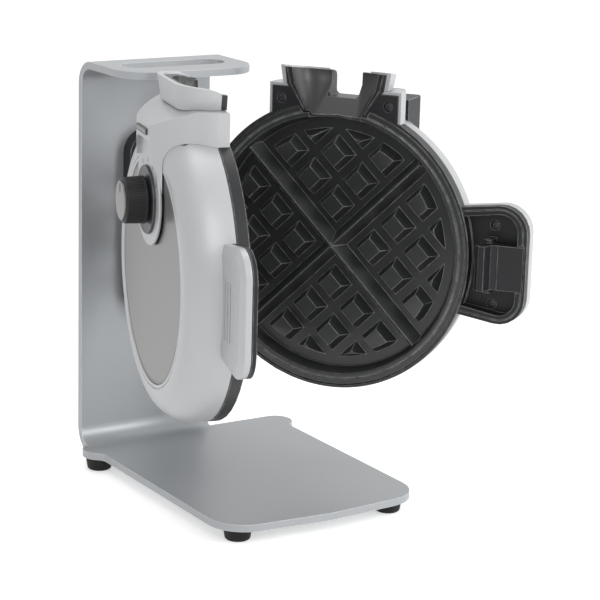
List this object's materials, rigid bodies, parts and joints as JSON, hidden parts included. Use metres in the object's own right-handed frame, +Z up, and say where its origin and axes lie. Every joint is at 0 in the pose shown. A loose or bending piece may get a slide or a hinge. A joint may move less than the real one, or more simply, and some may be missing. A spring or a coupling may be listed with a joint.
{
  "type": "vertical waffle maker",
  "caption": "Book-opening belgian waffle maker on a bent metal stand, two round halves on an upright hinge with a split pouring funnel, a heat knob and a sprung latch.",
  "frame": {"origin": "centre of the bounding box, at the feet's soles", "axes": "+Z up, the stand opens towards -Y, its upright is at the rear, the control half is on the -X side"},
  "size_m": [0.2804, 0.3204, 0.3228],
  "materials": {
    "silver_paint": "satin silver paint",
    "stand_metal": "satin silver powder coat on steel sheet",
    "brushed_steel": "brushed stainless steel",
    "black_plastic": "satin black moulding",
    "nonstick": "black non-stick coating on cast aluminium",
    "rubber": "matte black rubber",
    "steel": "plain steel",
    "dark_metal": "dark grey satin"
  },
  "bodies": {
    "stand": {"stand_frame": "stand_metal", "foot_rear_left": "rubber", "foot_rear_right": "rubber", "foot_front_left": "rubber", "foot_front_right": "rubber", "hinge_bracket": "black_plastic", "bracket_screw_upper": "steel", "bracket_screw_lower": "steel", "hinge_pin": "steel", "cord_gland": "black_plastic"},
    "control_half": {"control_shell": "silver_paint", "control_disc": "brushed_steel", "control_rim": "black_plastic", "control_grid_plate": "nonstick", "control_heater": "steel", "control_reflector": "steel", "control_handle_shell": "silver_paint", "control_ear_screw_hinge_side": "steel", "control_ear_screw_handle_side": "steel", "control_handle_screw_upper": "steel", "control_handle_screw_lower": "steel", "control_hood": "silver_paint", "control_collar": "silver_paint", "badge_plate": "dark_metal", "dial_bezel": "dark_metal", "thermostat": "black_plastic", "control_handle_cover": "black_plastic"},
    "lid_half": {"lid_shell": "silver_paint", "lid_disc": "brushed_steel", "lid_rim": "black_plastic", "lid_grid_plate": "nonstick", "lid_heater": "steel", "lid_reflector": "steel", "lid_handle_shell": "silver_paint", "lid_ear_screw_hinge_side": "steel", "lid_ear_screw_handle_side": "steel", "lid_handle_screw_upper": "steel", "lid_handle_screw_lower": "steel", "lid_back_cover": "black_plastic", "lid_collar_hinge_side": "silver_paint", "lid_collar_handle_side": "silver_paint", "lid_handle_tray": "black_plastic", "latch_pin": "steel", "latch_spring": "steel"},
    "knob": {"knob": "black_plastic", "knob_cap": "brushed_steel", "thermostat_shaft": "steel"},
    "latch": {"latch_hook": "black_plastic"}
  },
  "joints": [
    {"name": "control_swing", "type": "hinge", "parent": "stand", "child": "control_half", "pos_m": [-0.04022, 0.12237, 0.188], "axis": [0, 0, 1], "range_deg": [0, 14]},
    {"name": "lid_swing", "type": "hinge", "parent": "stand", "child": "lid_half", "pos_m": [-0.04022, 0.12237, 0.188], "axis": [0, 0, 1], "range_deg": [-34.3, 33]},
    {"name": "knob_turn", "type": "hinge", "parent": "control_half", "child": "knob", "pos_m": [-0.0747, -0.0159, 0.2385], "axis": [-0.9703, 0.2419, 0], "range_deg": [-135, 135]},
    {"name": "latch_turn", "type": "hinge", "parent": "lid_half", "child": "latch", "pos_m": [0.11268, -0.09291, 0.1865], "axis": [0, 0, 1], "range_deg": [0, 10], "stiffness_Nm_per_rad": 0.15, "springref_deg": -11.46}
  ]
}
